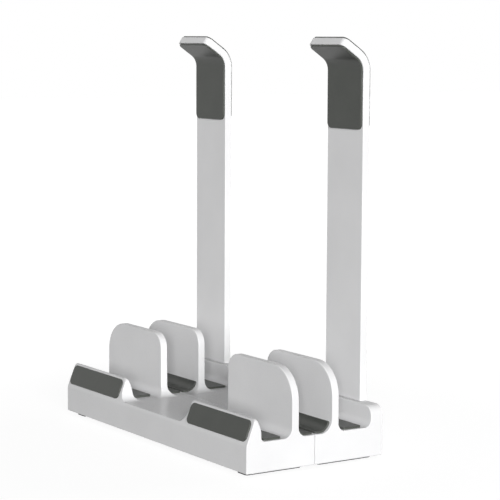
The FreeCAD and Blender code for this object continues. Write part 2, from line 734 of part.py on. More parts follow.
make_front_shell()
make_rear_shell()
make_cover("front_bottom_cover", (f"{FRONT_FACE} + shell", "-shell"), FRONT_BOSSES)
make_cover("rear_bottom_cover", ("shell", f"{REAR_FACE} - shell"), REAR_BOSSES)
flat_head = ("Cone", {"Radius1": "flat_head_radius", "Radius2": "screw_radius",
                      "Height": "(flat_head_radius - screw_radius)"})
pan_head = ("Cylinder", {"Radius": "pan_head_radius", "Height": "pan_head_height"})
post_head = ("Cylinder", {"Radius": "post_head_radius", "Height": "post_head_height"})
cover_shank = ("Cylinder", {"Radius": "screw_radius", "Height": "cover_screw_length"})
rail_shank = ("Cylinder", {"Radius": "screw_radius", "Height": "rail_screw_length"})
post_shank = ("Cylinder", {"Radius": "post_screw_radius", "Height": "post_screw_length"})
make_screws("front_cover_screws", cover_places(FRONT_BOSSES), "0", flat_head, cover_shank)
make_screws("rear_cover_screws", cover_places(REAR_BOSSES), "0", flat_head, cover_shank)
make_screws("rail_screws", rail_places(), "rail_base - pan_head_height", pan_head, rail_shank)
make_screws("post_screws", post_places(), f"{TENON_END} - socket_gap - socket_floor - post_head_height",
            post_head, post_shank)
floor_pad_start = f"{FRONT_SLOT_START} + lip_foot + pad_margin"
rear_pad_start = f"{REAR_SLOT_START} + rear_fin_rear_foot + pad_margin"
for side in SIDES:
    make_rail(side)
    make_post(side)
    make_hook_pad("hook_inner_pad", side, "-hook_inner_pad_thickness", "0", "(arm_length - hook_pad_inset)",
                  "hook_pad_inset")
    make_hook_pad("hook_outer_pad", side, "post_thickness", "(post_thickness + hook_outer_pad_thickness)",
                  "arm_length", "hook_pad_inset")
    make_lip_pad(side)
    make_floor_pad("front_slot_pad", side, floor_pad_start, "front_pad_depth")
    make_floor_pad("rear_slot_pad", side, rear_pad_start, "rear_pad_depth")
    make_bend_pad("middle_slot_front_pad", side, "-middle_front", "front_fin_rear_foot", "front_bend_pad_top",
                  False)
    make_bend_pad("middle_slot_rear_pad", side, REAR_FIN, "rear_fin_foot", "rear_bend_pad_top", True)
    make_foot("front", side, f"{FRONT_FACE} + foot_setback")
    make_foot("rear", side, f"{REAR_FACE} - foot_setback - foot_length")
check_and_write()
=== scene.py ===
# Vertical laptop stand: smooth shells, posts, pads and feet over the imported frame, and a studio round them.
import math
import bpy
import numpy as np
from mathutils import Matrix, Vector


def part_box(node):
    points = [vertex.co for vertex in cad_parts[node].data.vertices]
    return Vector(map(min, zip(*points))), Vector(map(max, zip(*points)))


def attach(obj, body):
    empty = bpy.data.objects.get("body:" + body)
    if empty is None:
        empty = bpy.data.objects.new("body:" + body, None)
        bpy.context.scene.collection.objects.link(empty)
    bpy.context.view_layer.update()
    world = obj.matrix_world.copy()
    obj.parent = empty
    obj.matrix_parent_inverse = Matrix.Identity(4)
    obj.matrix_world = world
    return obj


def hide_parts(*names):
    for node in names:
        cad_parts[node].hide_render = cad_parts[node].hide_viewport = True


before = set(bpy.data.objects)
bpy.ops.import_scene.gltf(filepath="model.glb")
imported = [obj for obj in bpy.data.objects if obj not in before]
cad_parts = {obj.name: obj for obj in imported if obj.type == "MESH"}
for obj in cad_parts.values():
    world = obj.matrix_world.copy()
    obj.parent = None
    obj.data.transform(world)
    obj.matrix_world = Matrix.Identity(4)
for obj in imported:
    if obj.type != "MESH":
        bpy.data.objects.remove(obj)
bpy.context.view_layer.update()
print("frame:", len(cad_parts), "nodes")

mm = 0.001
frontLow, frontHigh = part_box("front_base_shell")
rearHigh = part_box("rear_base_shell")[1]
seam = frontHigh[1] / mm
underside = frontLow[2] / mm
baseEnd = frontHigh[0] / mm  # half the base's width
frontFace = frontLow[1] / mm - seam  # from here on lengths are mm, Y from the seam and Z from the underside
rearFace = rearHigh[1] / mm - seam

# what both shells share
base = {
    "floor": 18.85,  # height of the slots' floor and of the middle
    "unitInner": 42.0,  # where lips, fins and walls end towards the middle
    "flare": 8.0,  # radius in which those ends sweep into the middle
    "edge": 0.5,  # radius of every outer edge
    "seamGap": 0.2,  # from the seam to each shell, so that the line between them shows
    "wall": 2.4,
    "cavityCorner": 3.0,
    "ceiling": 16.45,
    "channelAcross": (39.85, 52.15),  # openings for the two rails
    "channelUp": (4.85, 10.15),
}

# points along each curved or divided stretch
steps = {
    "edge": 7,  # across a rounded edge
    "foot": 15,  # up the foot of a lip, fin or wall
    "flare": 7,  # from the foot's top to the end of the flare
    "upright": 8,  # up an outer end that has its own heights
    "shared": 4,  # up both ends, from the flare to the first corner
    "ribCorner": 13,
    "lipBend": 7,
    "cavityCorner": 9,
    "strapCorner": 9,
    "strapAcross": 3,  # from the middle to the side of a strap
}
joinGrid = 1e4  # places in a mm: corners that share a place are joined
upwards = np.array([0.0, 0.0, 1.0])
downwards = np.array([0.0, 0.0, -1.0])
endwards = np.array([1.0, 0.0, 0.0])


# Surfaces. A patch is rows by columns of points, the exact normal at each, and which cells are there.

def unit(vectors):
    # each vector over its own length
    return vectors / np.linalg.norm(vectors, axis=-1, keepdims=True)


def patch(points, normals, keep=None):
    # normals may be one for all points, one for each row, or one for each point
    points = np.asarray(points, float)
    normals = np.broadcast_to(np.asarray(normals, float), points.shape)
    cells = (points.shape[0] - 1, points.shape[1] - 1)
    return points, normals, np.ones(cells, bool) if keep is None else keep


def stacked(*values):
    # x, y and z of equal or broadcast shape, as one array of points
    return np.stack(np.broadcast_arrays(*values), axis=-1).astype(float)


def spanned(left, right, shares):
    # left + share x (right - left), one row for each pair of points
    shares = np.asarray(shares)[None, :, None]
    return left[:, None] + shares * (right - left)[:, None]


def rolled(centres, normalsA, normalsB, radius):
    # a rounded edge: centre + radius x the direction that turns from one face's normal to the other's
    share = np.linspace(0, 1, steps["edge"])[None, :, None]
    start, end = (np.broadcast_to(normals, centres.shape)[:, None] for normals in (normalsA, normalsB))
    turning = unit((1 - share) * start + share * end)
    return patch(centres[:, None] + np.reshape(radius, (-1, 1, 1)) * turning, turning)


def flatSheet(across, along, place, normal, keep=None):
    # a plane as a grid: place(a, b) gives x, y and z for the crossings of two lists of lines
    a, b = np.meshgrid(across, along, indexing="ij")
    return patch(stacked(*place(a, b)), normal, keep)


def cellsOf(patches):
    # four corners for each kept cell, with their normals, and again with x times -1 for the other half
    corners = []
    normals = []
    for points, directions, keep in patches:
        for side in (1, -1):
            turn = np.array([side, 1, 1])
            for grid, found in ((points, corners), (directions, normals)):
                grid = grid * turn
                around = (grid[:-1, :-1], grid[1:, :-1], grid[1:, 1:], grid[:-1, 1:])
                found.append(np.stack(around, axis=2)[keep])
    return np.concatenate(corners), np.concatenate(normals)


def makePiece(name, patches, across=0.0):
    # every cell is turned to face its normals, and corners in one place are joined but keep their own normals
    corners, normals = cellsOf(patches)
    facing = np.cross(corners[:, 2] - corners[:, 0], corners[:, 3] - corners[:, 1])
    away = (facing * normals.sum(axis=1)).sum(axis=1) < 0
    corners[away] = corners[away][:, ::-1]
    normals[away] = normals[away][:, ::-1]
    places = np.round(corners.reshape(-1, 3) * joinGrid).astype(np.int64)
    _, first, inverse = np.unique(places, axis=0, return_index=True, return_inverse=True)
    points = corners.reshape(-1, 3)[first] + np.array([across, seam, underside])
    cells = inverse.reshape(-1, 4)
    joined = cells == np.roll(cells, -1, axis=1)
    folded = (cells[:, 0] == cells[:, 2]) | (cells[:, 1] == cells[:, 3])
    whole = (joined.sum(axis=1) == 0) & ~folded
    faces = cells[whole].tolist()  # and below, those with two corners in one place, as triangles
    kept = [normals[whole].reshape(-1, 3)]
    for corner in range(4):
        pinched = (joined.sum(axis=1) == 1) & joined[:, corner] & ~folded
        rest = [i for i in range(4) if i != corner]
        faces += cells[pinched][:, rest].tolist()
        kept.append(normals[pinched][:, rest].reshape(-1, 3))
    mesh = bpy.data.meshes.new(name)
    mesh.from_pydata((points * mm).tolist(), [], faces)
    mesh.polygons.foreach_set("use_smooth", np.ones(len(faces), bool))
    mesh.normals_split_custom_set(unit(np.concatenate(kept)).tolist())
    piece = bpy.data.objects.new(name, mesh)
    bpy.context.scene.collection.objects.link(piece)
    return piece


def dress(piece, material, body, slot, *nodes):
    # its finish, the body that it rides on and the node that it stands for; the slot is not used
    piece.data.materials.append(material)
    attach(piece, body)
    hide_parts(*nodes)


# Shells. An edge is where a ball inside the solid rolls along two faces, and touches each in a line.

def touching(face, height, radius):
    # Y of the centre of a ball at this height that touches the face from inside, and the face's normal there
    lean = math.radians(face["lean"])
    turn = face["turn"]
    height = np.asarray(height, float)
    y = face["y"] - turn * (radius + math.sin(lean) * (height - face["z"])) / math.cos(lean)
    normalY = np.full_like(height, turn * math.cos(lean))
    normalZ = np.full_like(height, math.sin(lean))
    if face["bend"]:  # a round arc from upright to leaning
        reach = face["bend"] - radius
        rise = height - (face["z"] - face["bend"] * math.tan(lean / 2))
        low = rise < reach * math.sin(lean)
        side = np.clip(rise / reach, 0, 1)
        bent = face["y"] - turn * (face["bend"] - reach * np.sqrt(1 - side ** 2))
        y = np.where(low, bent, y)
        normalY = np.where(low, turn * np.sqrt(1 - side ** 2), normalY)
        normalZ = np.where(low, side, normalZ)
    if face["foot"]:  # a hollow arc from the floor up to the upright face
        reach = face["foot"] + radius
        footY = footStart(face)
        drop = base["floor"] + face["foot"] - height
        low = drop > 0
        footed = footY - turn * np.sqrt(np.maximum(reach ** 2 - drop ** 2, 0))
        y = np.where(low, footed, y)
        normalY = np.where(low, (footY - footed) / reach, normalY)
        normalZ = np.where(low, drop / reach, normalZ)
    return y, normalY, normalZ


def footStart(face):
    # Y where the foot's arc leaves the floor, or where the face's rounded edge reaches the middle floor
    if face["foot"]:
        return face["y"] + face["turn"] * face["foot"]
    return float(touching(face, base["floor"] - base["edge"], base["edge"])[0])


def outline(rib):
    # the inner and outer end of a lip, fin or wall from the front: x, z, normal and the edge's radius. Flare
    # and corners are quarter circles, and the radius eases from the base's edge to the ridge.
    foot = max(face["foot"] for face in rib["faces"])
    floor, flare, edge = base["floor"], base["flare"], base["edge"]
    low = floor - edge + (foot + edge) * (1 - np.cos(np.linspace(0, math.pi / 2, steps["foot"])))
    swing = np.arccos((floor + flare - low) / (flare + edge))
    swing = np.concatenate([swing, np.linspace(swing[-1], math.pi / 2, steps["flare"])[1:]])
    corner = np.linspace(0, math.pi / 2, steps["ribCorner"])
    inner, outer = rib["corners"]
    top = rib["height"]
    straight = np.zeros(0)
    rise = np.linspace(low[-1], top - outer, steps["upright"])[1:-1]
    if top - max(inner, outer) > floor + flare:  # both ends share their heights up to the first corner
        straight = np.linspace(floor + flare, top - max(inner, outer), steps["shared"])[1:-1]
        rise = np.concatenate([floor + flare - (flare + edge) * np.cos(swing[len(low):]), straight])
    innerX = np.concatenate([base["unitInner"] - flare * (1 - np.sin(swing)),
                             np.full_like(straight, base["unitInner"]),
                             base["unitInner"] + inner * (1 - np.cos(corner))])
    innerZ = np.concatenate([floor + flare * (1 - np.cos(swing)), straight,
                             top - inner * (1 - np.sin(corner))])
    innerN = np.concatenate([stacked(-np.sin(swing), np.cos(swing)), stacked(-np.ones_like(straight), 0),
                             stacked(-np.cos(corner), np.sin(corner))])
    upright = np.concatenate([low, rise])
    outerX = np.concatenate([np.full_like(upright, baseEnd), baseEnd - outer * (1 - np.cos(corner))])
    outerZ = np.concatenate([upright, top - outer * (1 - np.sin(corner))])
    outerN = np.concatenate([stacked(np.ones_like(upright), 0), stacked(np.cos(corner), np.sin(corner))])
    sides = []
    for x, z, normal in ((innerX, innerZ, innerN), (outerX, outerZ, outerN)):
        share = np.clip((z - low[-1]) / (top - low[-1]), 0, 1)
        radius = edge + (rib["ridge"] - edge) * share ** 2 * (3 - 2 * share)
        sides.append({"x": x, "z": z, "normal": normal, "radius": radius})
    return sides


def ballOn(side, face):
    # ball centres, both normals and the contact on the face, along one stretch of outline
    radius = side["radius"]
    x = side["x"] - radius * side["normal"][:, 0]
    z = side["z"] - radius * side["normal"][:, 1]
    y, normalY, normalZ = touching(face, z, radius)
    centres = stacked(x, y, z)
    faceNormals = stacked(0 * x, normalY, normalZ)
    endNormals = stacked(side["normal"][:, 0], 0 * x, side["normal"][:, 1])
    return centres, faceNormals, endNormals, centres + radius[:, None] * faceNormals


def ribPatches(rib, shares, lines=(), hole=None):
    # faces are ruled from the inner to the outer line of contact, and a band follows the outline between the
    # rounded edges of both faces, divided at the lines and open at the hole
    inner, outer = outline(rib)
    topX = inner["x"][-1] + np.asarray(shares)[1:-1] * (outer["x"][-1] - inner["x"][-1])
    top = {"x": topX, "z": np.full_like(topX, rib["height"]), "normal": np.tile([0.0, 1.0], (len(topX), 1)),
           "radius": np.full_like(topX, rib["ridge"])}
    whole = {key: np.concatenate([inner[key], top[key], outer[key][::-1]]) for key in inner}
    patches = []
    for face in rib["faces"]:
        _, normals, _, left = ballOn(inner, face)
        right = ballOn(outer, face)[3]
        patches.append(patch(spanned(left, right, shares), normals[:, None]))
        centres, faceNormals, endNormals, _ = ballOn(whole, face)
        patches.append(rolled(centres, faceNormals, endNormals, whole["radius"]))
    fronts = [ballOn(whole, face)[0][:, 1] for face in rib["faces"]]
    columns = [fronts[0]] + [np.full_like(fronts[0], y) for y in lines] + [fronts[1]]
    y = np.stack(columns, axis=1)
    keep = np.ones((len(fronts[0]) - 1, y.shape[1] - 1), bool)
    if hole:
        middle = (whole["x"][1:] + whole["x"][:-1]) / 2
        onTop = (whole["normal"][1:, 1] == 1) & (whole["normal"][:-1, 1] == 1)
        keep[onTop & (middle > hole[0]) & (middle < hole[1]), 1] = False
    normals = stacked(whole["normal"][:, 0], 0, whole["normal"][:, 1])
    patches.append(patch(stacked(whole["x"][:, None], y, whole["z"][:, None]), normals[:, None], keep))
    return patches


def skirtPatches(outerWall, seamTurn, yLines, shares):
    # the slab below the floor: outer wall, seam wall, end face and the edges between them
    floor, edge = base["floor"], base["edge"]
    flatEnd = baseEnd - edge
    channelX, channelZ = base["channelAcross"], base["channelUp"]
    turnUp = np.linspace(0, math.pi / 2, steps["edge"])
    heights = [edge, *channelZ, floor - edge]
    if outerWall["bend"]:
        lean = math.radians(outerWall["lean"])
        start = outerWall["z"] - outerWall["bend"] * math.tan(lean / 2)
        bending = np.sin(np.linspace(0, lean, steps["lipBend"]))
        heights += list(start + (outerWall["bend"] - edge) * bending)
    heights = np.array(sorted(heights))
    walls = []
    seamWall = uprightFace(-seamTurn * base["seamGap"], seamTurn, 0)
    for face in (outerWall, seamWall):
        y, normalY, normalZ = touching(face, heights, edge)
        below = stacked(0, np.full_like(turnUp, y[0]), edge)[:-1]
        belowN = stacked(0, face["turn"] * np.sin(turnUp), -np.cos(turnUp))[:-1]
        centres = np.concatenate([below, stacked(0 * y, y, heights)])
        normals = np.concatenate([belowN, stacked(0 * y, normalY, normalZ)])
        if face is not outerWall:  # the seam wall's top edge is rounded all along
            above = stacked(0 * turnUp, y[-1], heights[-1])[1:]
            aboveN = stacked(0, face["turn"] * np.cos(turnUp), np.sin(turnUp))[1:]
            centres = np.concatenate([centres, above])
            normals = np.concatenate([normals, aboveN])
        walls.append((centres, normals, y))
    patches = []
    for facesSeam, (centres, normals, _) in enumerate(walls):
        contact = centres + edge * normals
        columns = np.array([0.0, *channelX, flatEnd] if facesSeam else middleColumns(shares, flatEnd))
        points = contact[:, None] + columns[None, :, None] * endwards
        keep = np.ones((len(contact) - 1, len(columns) - 1), bool)
        if facesSeam:
            z = (centres[1:, 2] + centres[:-1, 2]) / 2
            keep[(z > channelZ[0]) & (z < channelZ[1]), 1] = False
        patches.append(patch(points, normals[:, None], keep))
        patches.append(rolled(centres + flatEnd * endwards, normals, endwards, edge))
    # the end face, and its edge along the underside
    between = [np.full_like(heights, line) for line in yLines[1:-1]]
    y = np.stack([walls[0][2], *between, walls[1][2]], axis=1)
    patches.append(patch(stacked(baseEnd, y, heights[:, None]), endwards))
    patches.append(rolled(stacked(flatEnd, y[0], edge), downwards, endwards, edge))
    # the outer wall's edge in the middle, between the units
    middle = walls[0][0][-1] + stacked([0.0, base["unitInner"] - base["flare"]], 0, 0)
    patches.append(rolled(middle, walls[0][1][-1], upwards, edge))
    return patches


def middleColumns(shares, flatEnd):
    # x of the columns below a rib's face: the middle, then the same shares as the face above
    start = base["unitInner"] - base["flare"]
    return [0.0, *(start + np.asarray(shares) * (flatEnd - start))]


def floorPatches(yLines, gaps, shares):
    # the middle floor and, in these gaps between the lines, slots' floors with their edges at the end face
    floor, edge = base["floor"], base["edge"]
    flatEnd = baseEnd - edge
    columns = middleColumns(shares, flatEnd)
    keep = np.zeros((len(columns) - 1, len(yLines) - 1), bool)
    keep[0] = True
    keep[:, gaps] = True
    patches = [flatSheet(columns, yLines, lambda x, y: (x, y, np.full_like(x, floor)), upwards, keep)]
    for gap in gaps:
        centres = stacked(flatEnd, np.array(yLines[gap:gap + 2]), floor - edge)
        patches.append(rolled(centres, upwards, endwards, edge))
    return patches


def cavityPatches(low, high, seamTurn):
    # underside rim, the cavity's walls and ceiling, and the channels through the seam wall. Each half loop
    # runs from the middle along one wall and round its corner, and the rim spans from it to the base's edges.
    wall, corner, edge = base["wall"], base["cavityCorner"], base["edge"]
    channelX, channelZ = base["channelAcross"], base["channelUp"]
    middleY = (low + high) / 2
    reach = (high - low) / 2
    arc = np.linspace(-math.pi / 2, 0, steps["cavityCorner"])
    cornerX = baseEnd - wall - corner
    cornerY = reach - wall - corner
    straight = np.array([0.0, *channelX])
    x = np.concatenate([straight, cornerX + corner * np.cos(arc)])
    y = np.concatenate([np.full_like(straight, wall - reach), -cornerY + corner * np.sin(arc)])
    square = (corner + wall - edge) / np.maximum(np.abs(np.cos(arc)), np.abs(np.sin(arc)))
    outX = np.concatenate([straight, cornerX + square * np.cos(arc)])
    outY = np.concatenate([np.full_like(straight, edge - reach), -cornerY + square * np.sin(arc)])
    inward = np.concatenate([stacked(0 * straight, 1), stacked(-np.cos(arc), -np.sin(arc))])
    patches = []
    heights = np.array([0.0, *channelZ, base["ceiling"]])
    for turn in (1, -1):
        loop = stacked(x, middleY + turn * y, 0)
        rim = stacked(outX, middleY + turn * outY, 0)
        patches.append(patch(spanned(loop, rim, [0, 1]), downwards))
        points = loop[:, None] + stacked(0, 0, heights)[None]
        normals = stacked(inward[:, 0], turn * inward[:, 1], 0)
        keep = np.ones((len(loop) - 1, len(heights) - 1), bool)
        if turn == -seamTurn:
            keep[1, 1] = False
        patches.append(patch(points, normals[:, None], keep))
    endY = [middleY - cornerY, middleY + cornerY]  # the straight stretch at the base's end
    patches.append(flatSheet([baseEnd - wall, baseEnd - edge], endY, lambda a, b: (a, b, 0 * a), downwards))
    patches.append(flatSheet(heights, endY, lambda a, b: (np.full_like(a, baseEnd - wall), b, a), -endwards))
    nearLoop = stacked(x, middleY + y, base["ceiling"])
    farLoop = stacked(x, middleY - y, base["ceiling"])
    patches.append(patch(spanned(nearLoop, farLoop, [0, 1]), downwards))
    depth = [0, -seamTurn * wall]
    for x, z, inwards in zip(channelX, channelZ, (1, -1)):
        patches.append(flatSheet(depth, channelZ, lambda a, b: (np.full_like(a, x), a, b), (inwards, 0, 0)))
        patches.append(flatSheet(depth, channelX, lambda a, b: (b, a, np.full_like(a, z)), (0, 0, inwards)))
    return patches


def wellPatches(x, y, top, bottom):
    # a blind pocket with square walls, such as the socket of a post
    patches = [flatSheet(x, y, lambda a, b: (a, b, np.full_like(a, bottom)), upwards)]
    rise = [bottom, top]
    for atX, atY, inwards in zip(x, y, (1, -1)):
        patches.append(flatSheet(rise, y, lambda a, b: (np.full_like(a, atX), b, a), (inwards, 0, 0)))
        patches.append(flatSheet(rise, x, lambda a, b: (b, np.full_like(a, atY), a), (0, inwards, 0)))
    return patches


# corners are the radii at the inner and the outer end, and ridge is the edges' radius at the top
lip = {
    "height": 33.2, "corners": (3.0, 2.5), "ridge": 1.1, "depth": 10.75,
    "break": 17.1, "bend": 6.0, "frontLean": 21.4,  # height, radius and degrees of the front face's lean
    "shoulder": 26.5, "shoulderBend": 14.0, "rearLean": 23.3,  # and of the rear face's
    "foot": 3.0,
}
fin = {"height": 61.4, "corners": (10.5, 20.5), "ridge": 0.7, "thickness": 5.0}
frontFin = {"feet": (6.0, 5.5), "seamGap": 12.15}  # radii in front and behind, and the seam to the fin
rearFin = {"feet": (8.0, 5.0), "seamGap": 12.85}
rearWall = {"height": 32.1, "corners": (5.0, 6.2), "ridge": 0.7, "foot": 4.5, "thickness": 9.1}
socket = {"across": (65.75, 94.05), "front": 3.05, "rear": 7.55, "depth": 22.15}  # from the wall's front face


def uprightFace(y, turn, foot):
    # turn is 1 where the face looks to the rear and -1 where it looks to the front
    return {"y": y, "z": base["floor"], "lean": 0.0, "turn": turn, "foot": foot, "bend": 0}


def makeFrontShell(material):
    # the lines along Y are where each face leaves the floor, from the front to the seam
    lipFront = {"y": frontFace, "z": lip["break"], "lean": lip["frontLean"], "turn": -1, "foot": 0,
                "bend": lip["bend"]}
    lipRear = {"y": frontFace + lip["depth"], "z": lip["shoulder"], "lean": lip["rearLean"], "turn": 1,
               "foot": lip["foot"], "bend": lip["shoulderBend"]}
    finRear = -frontFin["seamGap"]
    finFaces = (uprightFace(finRear - fin["thickness"], -1, frontFin["feet"][0]),
                uprightFace(finRear, 1, frontFin["feet"][1]))
    shares = [0, 1]
    yLines = [footStart(face) for face in (lipFront, lipRear, *finFaces)] + [-base["seamGap"] - base["edge"]]
    patches = skirtPatches(lipFront, 1, yLines, shares) + floorPatches(yLines, [1, 3], shares)
    patches += ribPatches({**lip, "faces": (lipFront, lipRear)}, shares)
    patches += ribPatches({**fin, "faces": finFaces}, shares)
    patches += cavityPatches(frontFace, -base["seamGap"], 1)
    shell = makePiece("front_shell", patches)
    dress(shell, material, "front_half", "shell", "front_base_shell")


def makeRearShell(material):
    # the wall's columns and lines also pass the sides of the post's socket, which is left open in its top
    finFront = rearFin["seamGap"]
    finFaces = (uprightFace(finFront, -1, rearFin["feet"][0]),
                uprightFace(finFront + fin["thickness"], 1, rearFin["feet"][1]))
    wallFront = rearFace - rearWall["thickness"]
    wallFaces = (uprightFace(wallFront, -1, rearWall["foot"]), uprightFace(rearFace, 1, 0))
    socketY = (wallFront + socket["front"], wallFront + socket["rear"])
    topStart = base["unitInner"] + rearWall["corners"][0]
    topEnd = baseEnd - rearWall["corners"][1]
    shares = [0, *[(x - topStart) / (topEnd - topStart) for x in socket["across"]], 1]
    starts = [footStart(face) for face in (*finFaces, *wallFaces)]
    yLines = [base["seamGap"] + base["edge"], *starts[:3], *socketY, starts[3]]
    patches = skirtPatches(wallFaces[1], -1, yLines[::-1], shares) + floorPatches(yLines, [0, 2], shares)
    patches += ribPatches({**fin, "faces": finFaces}, shares)
    patches += ribPatches({**rearWall, "faces": wallFaces}, shares, socketY, socket["across"])
    patches += cavityPatches(base["seamGap"], rearFace, -1)
    top = rearWall["height"]
    patches += wellPatches(socket["across"], socketY, top, top - socket["depth"])
    shell = makePiece("rear_shell", patches)
    dress(shell, material, "rear_half", "shell", "rear_base_shell")


# Straps: posts, pads and feet. A flat slab with rounded corners and edges is laid along a line in YZ.

def carry(path, along, height):
    # a straight run, an arc and a straight run: the point at this length, moved by height along the normal
    # there. A path without a bend is one straight run.
    heading = math.radians(path["heading"])
    bend = math.radians(path.get("bend", 0.0))
    radius = path.get("radius", 1.0)
    turn = math.copysign(1.0, bend)
    first = path.get("first", math.inf)
    side = path["side"]
    turned = np.clip((along - first) / radius, 0, abs(bend))
    angle = heading + turn * turned
    before = np.minimum(along, first)
    after = np.maximum(along - first - radius * abs(bend), 0)
    y = path["start"][0] + before * math.cos(heading) + after * math.cos(heading + bend)
    z = path["start"][1] + before * math.sin(heading) + after * math.sin(heading + bend)
    y = y + turn * radius * (np.sin(angle) - math.sin(heading))
    z = z - turn * radius * (np.cos(angle) - math.cos(heading))
    tangent = stacked(0, np.cos(angle), np.sin(angle))
    normal = stacked(0, -side * np.sin(angle), side * np.cos(angle))
    return stacked(0, y, z) + np.asarray(height)[..., None] * normal, tangent, normal


def strapPatches(strap, path):
    # half an outline with two corner radii, faces ruled from the middle to it and a band round its edges, all
    # laid along the path. normalX, normalS and normalD are the normal's shares across, along and out.
    half = strap["width"] / 2
    low, high = strap["span"]
    cornerLow, cornerHigh = strap["corners"]
    bottom, top = strap["heights"]
    arc = np.linspace(0, math.pi / 2, steps["strapCorner"])
    step = strap["step"]
    samples = step * np.arange(math.ceil((low + cornerLow) / step) + 1,
                               math.floor((high - cornerHigh) / step))
    x = np.concatenate([half - cornerLow * (1 - np.sin(arc)), np.full_like(samples, half),
                        half - cornerHigh * (1 - np.cos(arc))])
    along = np.concatenate([low + cornerLow * (1 - np.cos(arc)), samples,
                            high - cornerHigh * (1 - np.sin(arc))])
    normalX = np.concatenate([np.sin(arc), np.ones_like(samples), np.cos(arc)])
    normalS = np.concatenate([-np.cos(arc), 0 * samples, np.sin(arc)])
    patches = []
    shares = np.linspace(0, 1, steps["strapAcross"])

    def laid(x, along, height, normalX, normalS, normalD):
        # a patch in the strap's own measures, moved on to the path
        point, tangent, normal = carry(path, along, height)
        point = point + stacked(x, 0, 0)
        turned = stacked(normalX, 0, 0) + np.asarray(normalS)[..., None] * tangent
        return patch(point, turned + np.asarray(normalD)[..., None] * normal)

    rims = []
    for height, edge, facing in ((bottom, strap["edges"][0], -1), (top, strap["edges"][1], 1)):
        faceX = shares[None] * (x - edge * normalX)[:, None]
        faceS = np.broadcast_to((along - edge * normalS)[:, None], faceX.shape)
        flat = np.zeros_like(faceX)
        patches.append(laid(faceX, faceS, flat + height, flat, flat, flat + facing))
        tilt = np.linspace(0, math.pi / 2, steps["edge"])
        rims.append((edge * (1 - np.sin(tilt)), height - facing * edge * (1 - np.cos(tilt)),
                     np.sin(tilt), facing * np.cos(tilt)))
    inset, height, outwards, lift = (np.concatenate([under, over[::-1]]) for under, over in zip(*rims))
    # the band's two straight ends, from the middle to the first corner and from the last corner back
    first = (shares * x[0], np.full_like(shares, low), 0 * shares, 0 * shares - 1)
    last = (shares[::-1] * x[-1], np.full_like(shares, high), 0 * shares, 0 * shares + 1)
    for bandX, bandS, acrossN, alongN in (first, (x, along, normalX, normalS), last):
        acrossN, alongN = acrossN[:, None], alongN[:, None]
        column = bandX[:, None] - inset[None] * acrossN
        length = bandS[:, None] - inset[None] * alongN
        flat = np.zeros_like(column)
        patches.append(laid(column, length, flat + height,
                            outwards * acrossN, outwards * alongN, flat + lift))
    return patches


sides = {"left": -1, "right": 1}
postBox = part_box("post_right")
postMiddle = (postBox[0][0] + postBox[1][0]) / 2 / mm

post = {
    "width": 37.8, "thickness": 5.0, "foot": 32.1, "front": 46.15,  # foot and front are places, Z and Y
    "bendHeight": 240.9, "bendRadius": 10.3, "bend": 56.3,  # radius in front, and turn in degrees
    "arm": 14.4, "tip": 4.0, "edge": 0.5,
    "tenon": (28.0, 4.2, 22.0), "tenonSteps": 4,
    "step": 0.8,  # between the points along a post or a hook pad
}


def hookPath():
    # up the post's front face, round the bend and forwards along the arm's underside
    return {"start": (post["front"], post["foot"]), "heading": 90.0, "side": -1,
            "first": post["bendHeight"] - post["foot"], "radius": post["bendRadius"], "bend": post["bend"]}


def hookLength():
    # the run up, radius x turn round the bend, and the arm
    return post["bendHeight"] - post["foot"] + post["bendRadius"] * math.radians(post["bend"]) + post["arm"]


def makePost(side, material):
    # the bar along the hook's line, and a tenon that ends where the bar begins
    edge = post["edge"]
    strap = {"width": post["width"], "span": (0.0, hookLength()), "corners": (edge, post["tip"]),
             "heights": (0.0, post["thickness"]), "edges": (edge, edge), "step": post["step"]}
    patches = strapPatches(strap, hookPath())
    width, thickness, depth = post["tenon"]
    tenon = {"width": width, "span": (0.0, depth), "corners": (edge, edge), "heights": (0.0, thickness),
             "edges": (edge, edge), "step": depth / post["tenonSteps"]}
    foot = {"start": (post["front"], post["foot"] - depth), "heading": 90.0, "side": -1}
    patches += strapPatches(tenon, foot)
    piece = makePiece(f"{side}_post", patches, sides[side] * postMiddle)
    dress(piece, material, "rear_half", "post", f"post_{side}")


hookPad = {"bottom": 204.3, "inset": 0.9, "corner": 3.8, "inner": 1.2, "outer": 0.85,  # thicknesses
           "edges": (0.35, 0.15), "tipGap": 0.3}


def makeHookPads(side, material):
    # one under the hook and one over it, along the same line as the post
    start = hookPad["bottom"] - post["foot"]
    innerEdge, outerEdge = hookPad["edges"]
    shared = {"width": post["width"] - 2 * hookPad["inset"], "corners": (hookPad["corner"],) * 2,
              "step": post["step"]}
    inner = {**shared, "span": (start, hookLength() - hookPad["inset"]), "heights": (-hookPad["inner"], 0.0),
             "edges": (innerEdge, 0.0)}
    outer = {**shared, "span": (start, hookLength() - hookPad["tipGap"]), "edges": (0.0, outerEdge),
             "heights": (post["thickness"], post["thickness"] + hookPad["outer"])}
    for name, strap in (("inner", inner), ("outer", outer)):
        patches = strapPatches(strap, hookPath())
        piece = makePiece(f"{side}_hook_{name}_lining", patches, sides[side] * postMiddle)
        dress(piece, material, "rear_half", "pad", f"hook_{name}_pad_{side}")


pad = {
    "inset": 2.4, "thickness": 1.25, "corner": 1.8, "edge": 0.5,
    "margin": 0.4,  # from a foot's arc to the pad
    "frontDepth": 12.8, "rearDepth": 13.9,
    "step": 1.5, "bentStep": 0.4,  # between the points along a flat pad and a bent one
}
lipPad = {"thickness": 1.0, "height": 13.65, "rise": 2.35, "corner": 3.6, "edge": 0.35}
unitMiddle = (baseEnd + base["unitInner"]) / 2
padLength = baseEnd - base["unitInner"] - 2 * pad["inset"]


